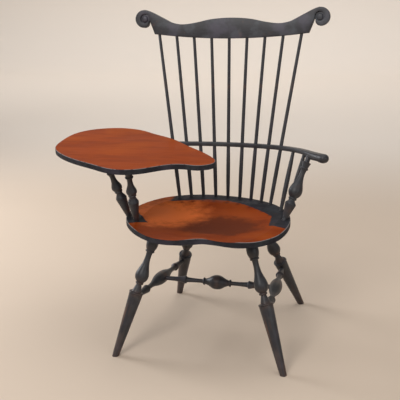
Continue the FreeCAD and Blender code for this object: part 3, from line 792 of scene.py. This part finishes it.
@dataclass
class Arm:
    """The bent arm rail with its carved hand, and the post under it.

    The rail and the block glued under its hand are shown as one carved form. Its middle line
    passes through the long spindles where they cross the rail's plane, which falls towards the
    back, and goes on to the hand on one side and under the tablet on the other.
    """

    rail: str = "arm_rail"
    knuckle: str = "arm_knuckle"
    post: str = "arm_post"
    spindles: tuple[str, ...] = LONG_SPINDLES
    height: float = 0.634
    pitch: float = math.radians(5.7)
    half_thickness: float = 0.0077
    half_width: float = 0.0105
    hand_half_width: float = 0.0172
    hand_across: float = 0.47425
    hand_reach: float = 0.166
    stub_span: float = 0.107
    stub_reach: float = 0.073
    hand_shares: tuple[tuple[float, float, float], ...] = (
        (0.40, 0.30, 0.15),
        (0.71, 0.68, 0.60),
        (0.88, 0.88, 0.92),
        (1.0, 1.0, 1.0),
    )
    stub_shares: tuple[Spot, ...] = ((1.0, 1.0), (0.58, 0.45))
    block_length: float = 0.112
    block_depth: float = 0.0145
    block_places_shares: tuple[float, ...] = (0.0, 0.06, 0.14, 0.23, 0.33, 0.44, 0.86, 0.96, 1.0)
    block_depth_shares: tuple[float, ...] = (0.80, 0.96, 1.0, 0.94, 0.80, 0.74, 0.74, 0.50, 0.0)
    power_places_shares: tuple[float, ...] = (0.0, 0.35, 0.75, 1.3)
    powers: tuple[float, ...] = (2.2, 2.4, 3.2, 5.0)
    nose_end_share: float = 0.985
    lap_height: float = 0.6439
    lapped_rows: int = 13
    row_steps: int = 8
    nose_steps: int = 12
    around: int = 36
    finish: BlackPaint = BlackPaint()

    def dress(self, frame: dict[str, Any]) -> None:
        """Put the carved arm in place of the plain rail and block, and paint it and the post."""
        points, faces = self.carved(frame["nodes"])
        piece = mesh_object("carved_arm", points, faces)
        paint(piece, self.finish.material("arm_paint"))
        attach(piece, "root")
        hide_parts(self.rail, self.knuckle)
        paint_turned(frame["nodes"][self.post], self.finish, Turning.POST)

    def middle_line(self, nodes: dict[str, bpy.types.Object]) -> np.ndarray:
        """Find the arm's middle line.

        The plane's height is z = h - (y - y0) tan p, with y0 where the middle spindle is h high.

        Args:
            nodes: the frame's objects by name.

        Returns:
            Rows of x, y, z and half width, from the tablet's end to the hand.
        """
        lines = [Lathe.of(nodes[name]) for name in self.spindles]
        fall = math.tan(self.pitch)
        centre = lines[len(lines) // 2]
        way = centre.axes.col[2]
        back = (centre.base + way * ((self.height - centre.base.z) / way.z)).y
        crossings = []
        for line in lines:
            way = line.axes.col[2]
            level = self.height - (line.base.y - back) * fall
            step = (level - line.base.z) / (way.z + way.y * fall)
            crossings.append((line.base + way * step).to_tuple())
        first, last = crossings[0], crossings[-1]
        rows = []
        for out, ahead in self.stub_shares:
            place = (first[0] - out * self.stub_span, first[1] - ahead * self.stub_reach)
            rows.append((*place, self.half_width))
        rows += [(x, y, self.half_width) for x, y, _ in crossings]
        growth = self.hand_half_width - self.half_width
        for out, ahead, wider in self.hand_shares:
            across = last[0] + out * (self.hand_across - last[0])
            place = (across, last[1] - ahead * self.hand_reach)
            rows.append((*place, self.half_width + wider * growth))
        made = smooth_rows(np.array(rows), self.row_steps)
        level = self.height - (made[:, 1] - back) * fall
        return np.column_stack([made[:, :2], level, made[:, 2]])

    def carved(self, nodes: dict[str, bpy.types.Object]) -> tuple[np.ndarray, list[list[int]]]:
        """Work out the arm's surface.

        Each loop is s = w sgn(c) |c|^(2/n), u = m + h sgn(d) |d|^(2/n), with c and d the cosine
        and sine of the turn. The power n falls from 5 on the rail to 2.2 at the knuckle. The
        nose is round: ahead of the hand, w and h shrink as the square root of 1 - (d / w)^2.

        Args:
            nodes: the frame's objects by name.

        Returns:
            Its points and its faces.
        """
        line = self.middle_line(nodes)
        places, widths = line[:, :3], line[:, 3]
        ways = np.gradient(places, axis=0)
        ways = ways / np.linalg.norm(ways, axis=1)[:, None]
        turn = np.linspace(0, math.pi / 2, self.nose_steps + 1)[1:] * self.nose_end_share
        nose = places[-1] + ways[-1] * (widths[-1] * np.sin(turn))[:, None]
        shrink = np.concatenate([np.ones(len(places)), np.cos(turn)])
        places = np.vstack([places, nose])
        ways = np.vstack([ways, np.repeat(ways[-1:], self.nose_steps, axis=0)])
        widths = np.concatenate([widths, np.full(self.nose_steps, widths[-1])])
        steps = np.linalg.norm(np.diff(places, axis=0), axis=1)
        behind = np.concatenate([np.cumsum(steps[::-1])[::-1], [0.0]])
        share = behind / self.block_length
        depth = np.interp(share, self.block_places_shares, self.block_depth_shares)
        depth = depth * self.block_depth
        power = np.interp(share, self.power_places_shares, self.powers)[:, None]
        up = np.array([0.0, math.sin(self.pitch), math.cos(self.pitch)])
        sides = np.cross(ways, up)
        middle = -depth / 2
        half = (self.half_thickness + depth / 2) * shrink
        around = np.linspace(0, 2 * math.pi, self.around, endpoint=False)
        cos, sin = np.cos(around), np.sin(around)
        out = np.sign(cos) * np.abs(cos) ** (2 / power) * (widths * shrink)[:, None]
        rise = np.sign(sin) * np.abs(sin) ** (2 / power) * half[:, None] + middle[:, None]
        grid = places[:, None, :] + sides[:, None, :] * out[..., None] + up * rise[..., None]
        lap = grid[: self.lapped_rows, :, 2]
        grid[: self.lapped_rows, :, 2] = np.minimum(lap, self.lap_height)
        return grid.reshape(-1, 3), grid_faces(*grid.shape[:2], closed=True, capped=True)


@dataclass
class ScrolledCrest:
    """The crest rail with its rounded edges, its carved scrolls and their raised eyes.

    Its points are worked out in its own leaning frame: x across from its middle, z up from the
    middle of its bottom edge, and y back through the wood. There it bows forwards by
    R - sqrt(R^2 - x^2). One band runs from the tip of one scroll, along the crest, to the tip of
    the other. Each row below gives a place on its outer edge and one on its inner edge.
    """

    node: str = "crest_rail"
    pins: str = "crest_pins"
    base: Point = (0.10725, 0.24877, 1.0015)
    lean: float = math.atan2(0.075, 0.5565)
    bow_radius: float = 4.4586
    half_thickness: float = 0.0099
    edge: float = 0.0024
    neck_bevel: float = 0.0075
    eye: Spot = (0.313, 0.0697)
    eye_radius: float = 0.0102
    eye_rise: float = 0.0026
    groove_depth: float = 0.0062
    web_radius: float = 0.0185
    edge_share: float = 0.3
    neck_share: float = 0.5
    neck_slope: float = 0.85
    row_steps: int = 5
    corner_steps: int = 5
    pole_share: float = 0.02
    web_back_share: float = 0.95
    web_side_shares: Span = (0.9, 0.05)
    web_floor_share: float = 0.97
    eye_foot_shares: Span = (1.25, 1.06)
    dome_end_share: float = 0.98
    dome_round_share: float = 0.999
    dome_sink_share: float = 0.6
    eye_steps: int = 8
    eye_around: int = 48
    # Outer x and z, then inner x and z, in metres, then how much of the neck's bevel there is
    board_rows: tuple[tuple[float, ...], ...] = (
        (0.0, 0.071, 0.0, 0.0, 0.0),
        (0.068, 0.0668, 0.068, 0.001, 0.0),
        (0.123, 0.0559, 0.123, 0.0033, 0.0),
        (0.171, 0.050, 0.171, 0.0063, 0.0),
        (0.208, 0.0550, 0.210, 0.0095, 0.0),
        (0.232, 0.0655, 0.242, 0.0126, 0.0),
        (0.248, 0.0738, 0.264, 0.0150, 0.0),
        (0.257, 0.0782, 0.2755, 0.0163, 0.1),
        (0.2615, 0.0804, 0.2775, 0.0185, 0.5),
        (0.271, 0.0852, 0.2835, 0.033, 1.0),
        (0.282, 0.0907, 0.290, 0.049, 1.0),
        (0.293, 0.0955, 0.2945, 0.062, 0.8),
        (0.298, 0.0975, 0.2964, 0.072, 0.3),
        (0.303, 0.0992, 0.3005, 0.081, 0.0),
        (0.308, 0.1006, 0.3065, 0.0853, 0.0),
    )
    # Degrees round the eye from its top outwards, then the outer and inner radius in metres
    curl_rows: tuple[tuple[float, float, float], ...] = (
        (0.0, 0.0316, 0.0166),
        (25.0, 0.0325, 0.0164),
        (50.0, 0.0335, 0.0161),
        (75.0, 0.0342, 0.0158),
        (100.0, 0.0342, 0.0155),
        (125.0, 0.0334, 0.0152),
        (150.0, 0.0322, 0.0149),
        (175.0, 0.0308, 0.0147),
        (195.0, 0.0285, 0.0145),
        (212.0, 0.0248, 0.0143),
        (228.0, 0.0200, 0.0141),
        (242.0, 0.0158, 0.0140),
    )
    finish: BlackPaint = BlackPaint(
        green_grey=(0.068, 0.075, 0.087), plum_grey=(0.075, 0.068, 0.093), mottle=0.9, rub=0.8
    )

    def dress(self, frame: dict[str, Any]) -> None:
        """Put the carved crest in the plain one's place, and paint it and its pins."""
        points, faces = self.band()
        for side in (-1, 1):
            eye_points, eye_faces = self.eye_and_web(side)
            faces += [[corner + len(points) for corner in face] for face in eye_faces]
            points = np.vstack([points, eye_points])
        piece = mesh_object("scrolled_crest", self.to_frame(points), faces)
        paint(piece, self.finish.material("crest_paint"))
        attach(piece, "root")
        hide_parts(self.node)
        paint(frame["nodes"][self.pins], BlackPaint(rub=1.0).material("pin_paint"))

    def rows(self) -> np.ndarray:
        """Join the board's rows and the curls' rows, and mirror and smooth them.

        A curl's place at an angle a and radius r is (ex + r sin a, ez + r cos a).

        Returns:
            Rows from tip to tip: the outer x and z, the inner x and z, and the bevel's share.
        """
        rows = [list(row) for row in self.board_rows]
        for degrees, outer, inner in self.curl_rows:
            angle = math.radians(degrees)
            row = []
            for radius in (outer, inner):
                row += [self.eye[0] + radius * math.sin(angle)]
                row += [self.eye[1] + radius * math.cos(angle)]
            rows.append(row + [0.0])
        right = np.array(rows)
        left = right[:0:-1] * np.array([-1, 1, -1, 1, 1])
        return smooth_rows(np.vstack([left, right]), self.row_steps)

    def band(self) -> tuple[np.ndarray, list[list[int]]]:
        """Work out the band's surface, where each row is one loop round a rounded rectangle.

        With w the way from the inner to the outer edge, a loop's point lies at inner + w t and
        at depth y. Its corners are quarter ellipses (t, y) = (ct + rt cos a, cy + ry sin a).

        Returns:
            Its points and its faces.
        """
        rows = self.rows()
        inner, outer, bevel = rows[:, 2:4], rows[:, 0:2], rows[:, 4]
        width = np.linalg.norm(outer - inner, axis=1)
        way = (outer - inner) / width[:, None]
        edge = np.minimum(self.edge, width * self.edge_share)
        neck = edge + (self.neck_bevel - self.edge) * bevel
        neck = np.minimum(neck, width * self.neck_share)
        half, neck_depth = self.half_thickness, neck * self.neck_slope
        corners = (
            (neck, neck_depth - half, neck, neck_depth, math.pi),
            (width - edge, edge - half, edge, edge, math.pi * 1.5),
            (width - edge, half - edge, edge, edge, 0.0),
            (edge, half - edge, edge, edge, math.pi / 2),
        )
        across, depth = [], []
        for centre_t, centre_y, reach_t, reach_y, start in corners:
            for angle in start + np.linspace(0, math.pi / 2, self.corner_steps):
                across.append(centre_t + reach_t * math.cos(angle))
                depth.append(centre_y + reach_y * math.sin(angle))
        across, depth = np.array(across).T, np.array(depth).T
        flat = inner[:, None, :] + way[:, None, :] * across[:, :, None]
        grid = np.stack([flat[..., 0], depth, flat[..., 1]], axis=-1)
        return grid.reshape(-1, 3), grid_faces(*grid.shape[:2], closed=True, capped=True)

    def eye_and_web(self, side: int) -> tuple[np.ndarray, list[list[int]]]:
        """Work out a scroll's raised eye and the sunk web round it, as one turned shape.

        Its outline of (radius, depth) is carried round the eye's middle: x = ex + r sin a,
        z = ez + r cos a. The eye's dome is d = rise (sink - sqrt(1 - (r / eye radius)^2)) - half.

        Args:
            side: 1 for the sitter's left scroll, and -1 for the right one.

        Returns:
            Its points and its faces.
        """
        half, eye, web, rise = self.half_thickness, self.eye_radius, self.web_radius, self.eye_rise
        floor, pole = self.groove_depth - half, self.pole_share * eye
        back_share, front_share = self.web_side_shares
        outline = [(pole, half - pole), (self.web_back_share * web, half - pole)]
        outline += [(web, half * back_share), (web, floor + front_share * half)]
        outline += [(self.web_floor_share * web, floor)]
        outline += [(share * eye, floor) for share in self.eye_foot_shares]
        out = 1 - np.linspace(0.0, self.dome_end_share, self.eye_steps)
        dome = self.dome_sink_share - np.sqrt(1 - out**2 * self.dome_round_share)
        dome_rows = np.column_stack([out * eye, dome * rise - half])
        radius, depth = np.vstack([outline, dome_rows]).T
        turns = np.linspace(0, 2 * math.pi, self.eye_around, endpoint=False)
        x = side * (self.eye[0] + radius[:, None] * np.sin(turns))
        z = self.eye[1] + radius[:, None] * np.cos(turns)
        grid = np.stack([x, np.broadcast_to(depth[:, None], x.shape), z], axis=-1)
        if side < 0:
            grid = grid[:, ::-1]
        return grid.reshape(-1, 3), grid_faces(*grid.shape[:2], closed=True, capped=True)

    def to_frame(self, points: np.ndarray) -> np.ndarray:
        """Bow the points forwards, lean them back about X, and move them to the crest's place.

        Args:
            points: rows of x, depth and height in the crest's own leaning frame.

        Returns:
            The points in the chair's frame.
        """
        bow = self.bow_radius - np.sqrt(self.bow_radius**2 - points[:, 0] ** 2)
        depth = points[:, 1] - bow
        cos, sin = math.cos(self.lean), math.sin(self.lean)
        leaned = [points[:, 0], depth * cos + points[:, 2] * sin, points[:, 2] * cos - depth * sin]
        return np.stack(leaned, axis=-1) + np.array(self.base)


@dataclass
class WritingSide(Board):
    """The writing tablet, its two posts and its screws."""

    tablet: str = "writing_tablet"
    posts: tuple[str, ...] = ("tablet_post_outer", "tablet_post_inner")
    screws: str = "tablet_screws"
    finish: BlackPaint = BlackPaint()

    def dress(self, frame: dict[str, Any]) -> None:
        """Paint the tablet and the posts, and give the screws their steel."""
        nodes = frame["nodes"]
        paint(nodes[self.tablet], RedPaint().material("tablet_paint", self))
        for name in self.posts:
            paint_turned(nodes[name], self.finish, Turning.POST)
        paint(nodes[self.screws], Steel().material("screw_steel"))


@dataclass(frozen=True)
class Steel:
    """Dull steel with a little rust in its hollows."""

    metal: Colour = (0.33, 0.32, 0.30)
    rust: Colour = (0.16, 0.07, 0.035)
    patches: Noise = Noise(420.0, 4, 0.6)
    rust_span: Span = (0.50, 0.68)
    roughness: float = 0.38
    rust_dulls: float = 0.4
    rust_hides: float = 0.9

    def material(self, name: str) -> bpy.types.Material:
        """Make the screws' steel."""
        sheet = Sheet(name)
        rusty = sheet.noise(sheet.place(), self.patches).above(*self.rust_span)
        colour = sheet.blend(rusty, self.metal, self.rust)
        roughness = self.roughness + rusty * self.rust_dulls
        metallic = 1.0 - rusty * self.rust_hides
        return sheet.finish(Base_Color=colour, Roughness=roughness, Metallic=metallic)


def paint(node: bpy.types.Object, material: bpy.types.Material) -> None:
    """Give a piece one material all over, and report it."""
    node.data.materials.clear()
    node.data.materials.append(material)
    LOG.info("%s: %s", node.name, material.name)


def paint_turned(node: bpy.types.Object, finish: BlackPaint, turning: Turning) -> None:
    """Paint a turned piece with the grain along its own middle line."""
    paint(node, finish.material(node.name + "_paint", Lathe.of(node), turning))


@dataclass(frozen=True)
class SoftBox:
    """One rectangular studio lamp."""

    name: str
    place: Point
    aim: Point
    size: tuple[float, float]
    power: float
    colour: Colour = (1.0, 1.0, 1.0)

    def hang(self) -> None:
        """Put the lamp up and turn it to its aim."""
        lamp = bpy.data.lights.new(self.name, "AREA")
        lamp.shape = "RECTANGLE"
        lamp.size, lamp.size_y = self.size
        lamp.energy = self.power
        lamp.color = self.colour
        holder = bpy.data.objects.new(self.name, lamp)
        holder.location = self.place
        towards = Vector(self.aim) - Vector(self.place)
        holder.rotation_euler = towards.to_track_quat("-Z", "Y").to_euler()
        bpy.context.scene.collection.objects.link(holder)


@dataclass(frozen=True)
class FloorPaint:
    """A pale, dull floor colour that turns paler far behind the chair."""

    near_colour: Colour = (0.67, 0.55, 0.44)
    far_colour: Colour = (0.86, 0.78, 0.70)
    cloud: Noise = Noise(3.0, 2, 0.5)
    cloud_gain: float = 1.03
    far_span: Span = (1.2, 3.2)
    roughness: float = 0.75
    specular: float = 0.2

    def material(self, name: str) -> bpy.types.Material:
        """Make the floor's paint."""
        sheet = Sheet(name)
        place = sheet.place()
        paler = tuple(channel * self.cloud_gain for channel in self.near_colour)
        colour = sheet.blend(sheet.noise(place, self.cloud), self.near_colour, paler)
        far = sheet.parts(place)[1].above(*self.far_span)
        colour = sheet.blend(far, colour, self.far_colour)
        return sheet.finish(
            Base_Color=colour, Roughness=self.roughness, Specular_IOR_Level=self.specular
        )


@dataclass
class Studio:
    """A pale floor that curves up into a backdrop, soft lamps and an even surrounding light."""

    surround: Colour = (0.94, 0.92, 0.90)
    surround_strength: float = 0.27
    half_width: float = 12.0
    near: float = -9.0
    far: float = 6.0
    curve: float = 1.0
    height: float = 6.0
    curve_steps: int = 17
    lamps: tuple[SoftBox, ...] = (
        SoftBox("key", (-0.5, -3.3, 3.0), (0.1, 0.0, 0.5), (1.5, 1.5), 66.0, (1.0, 0.98, 0.96)),
        SoftBox("fill", (2.8, -2.2, 1.5), (0.1, 0.0, 0.5), (1.6, 1.8), 15.0, (0.94, 0.97, 1.0)),
        SoftBox("side", (-2.8, 0.6, 1.5), (0.0, 0.0, 0.5), (1.2, 1.4), 48.0, (0.94, 0.96, 1.0)),
        SoftBox("top", (0.0, 0.2, 3.3), (0.1, 0.0, 0.5), (3.2, 2.2), 34.0),
        SoftBox("wall_wash", (-2.0, 4.6, 4.6), (-2.0, 7.5, 1.5), (8.0, 1.0), 165.0),
    )

    def build(self) -> None:
        """Make the floor, the lamps and the surrounding light."""
        self.make_floor()
        for lamp in self.lamps:
            lamp.hang()
        world = bpy.data.worlds.new("surround")
        world.use_nodes = True
        background = world.node_tree.nodes["Background"]
        background.inputs["Color"].default_value = (*self.surround, 1.0)
        background.inputs["Strength"].default_value = self.surround_strength
        bpy.context.scene.world = world

    def make_floor(self) -> None:
        """Make the floor and backdrop as one sheet.

        The profile is y = t along the floor, then a quarter circle y = far + c sin a,
        z = c (1 - cos a), then straight up. It is carried along X.
        """
        angle = np.linspace(0.0, math.pi / 2, self.curve_steps)
        y = np.concatenate([[self.near], self.far + self.curve * np.sin(angle)])
        z = np.concatenate([[0.0], self.curve * (1 - np.cos(angle))])
        y = np.append(y, self.far + self.curve)
        z = np.append(z, self.height)
        x = np.array([[-self.half_width], [self.half_width]])
        grid = np.stack(np.broadcast_arrays(x, y, z), axis=-1)
        faces = grid_faces(*grid.shape[:2], closed=False, capped=False)
        floor = mesh_object("floor", grid.reshape(-1, 3), faces)
        paint(floor, FloorPaint().material("floor_paint"))


def smooth_rows(rows: np.ndarray, steps: int) -> np.ndarray:
    """Put a smooth curve through rows of numbers.

    Between rows b and c, with a before and d after them, the curve at t is
    b + t (c - a) / 2 + t^2 (a - 5b / 2 + 2c - d / 2) + t^3 (3 (b - c) + d - a) / 2.

    Args:
        rows: the rows that it passes through.
        steps: how many steps it takes from one row to the next.

    Returns:
        Rows on the curve.
    """
    before = np.vstack([rows[0] * 2 - rows[1], rows[:-2]])
    after = np.vstack([rows[2:], rows[-1] * 2 - rows[-2]])
    made = []
    for a, b, c, d in zip(before, rows[:-1], rows[1:], after):
        for t in np.arange(steps) / steps:
            square = t**2 * (a - 2.5 * b + 2 * c - 0.5 * d)
            cube = t**3 * (3 * (b - c) + d - a) / 2
            made.append(b + t * (c - a) / 2 + square + cube)
    return np.array(made + [rows[-1]])


def grid_faces(rows: int, columns: int, closed: bool, capped: bool) -> list[list[int]]:
    """Return the faces of a grid of points.

    Args:
        rows: how many rows of points there are.
        columns: how many points a row has.
        closed: whether each row's last point joins its first.
        capped: whether the first and last rows are filled in.

    Returns:
        Each face as the numbers of its points.
    """
    numbers = np.arange(rows * columns).reshape(rows, columns)
    caps = [numbers[0].tolist(), numbers[-1, ::-1].tolist()]
    if closed:
        numbers = np.hstack([numbers, numbers[:, :1]])
    near, far = numbers[:-1], numbers[1:]
    quads = np.stack([near[:, :-1], far[:, :-1], far[:, 1:], near[:, 1:]], axis=-1)
    return quads.reshape(-1, 4).tolist() + (caps if capped else [])


def mesh_object(name: str, points: np.ndarray, faces: list[list[int]]) -> bpy.types.Object:
    """Make a smooth-shaded object, and put it in the scene.

    Args:
        name: the object's name.
        points: its points in the chair's frame.
        faces: each face as the numbers of its points.

    Returns:
        The object.
    """
    mesh = bpy.data.meshes.new(name)
    mesh.from_pydata(points.tolist(), [], faces)
    mesh.polygons.foreach_set("use_smooth", np.ones(len(mesh.polygons), bool))
    mesh.update()
    made = bpy.data.objects.new(name, mesh)
    bpy.context.scene.collection.objects.link(made)
    return made


@dataclass(frozen=True)
class PhotoCamera:
    """The camera at the photograph's viewing angle.

    With yaw a and pitch p its right is (cos a, sin a, 0), it looks along
    (-sin a cos p, cos a cos p, -sin p), and the picture is then turned by the roll.
    """

    place: Point = (0.8519, -2.4915, 1.2828)
    yaw: float = math.radians(17.813)
    pitch: float = math.radians(16.986)
    roll: float = math.radians(-2.266)
    lens: float = 72.0
    sensor: float = 36.0

    def set_up(self) -> None:
        """Make the camera and look through it."""
        right = Vector((math.cos(self.yaw), math.sin(self.yaw), 0))
        ahead = Vector(
            (
                -math.sin(self.yaw) * math.cos(self.pitch),
                math.cos(self.yaw) * math.cos(self.pitch),
                -math.sin(self.pitch),
            )
        )
        up = right.cross(ahead)
        across = right * math.cos(self.roll) + up * math.sin(self.roll)
        upright = up * math.cos(self.roll) - right * math.sin(self.roll)
        turn = Matrix((across, upright, -ahead)).transposed()
        data = bpy.data.cameras.new("camera")
        data.lens = self.lens
        data.sensor_width = self.sensor
        camera = bpy.data.objects.new("camera", data)
        camera.matrix_world = Matrix.Translation(self.place) @ turn.to_4x4()
        bpy.context.scene.collection.objects.link(camera)
        bpy.context.scene.camera = camera


def main() -> None:
    """Load the frame, dress every piece, and set up the studio and the camera."""
    logging.basicConfig(level=logging.INFO, format="%(name)s: %(message)s")
    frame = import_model()
    SeatBoard().dress(frame)
    Undercarriage().dress(frame)
    SpindleFan().dress(frame)
    Arm().dress(frame)
    ScrolledCrest().dress(frame)
    WritingSide().dress(frame)
    Studio().build()
    PhotoCamera().set_up()
    bpy.context.scene.view_settings.view_transform = "Standard"


if __name__ == "__main__":
    main()
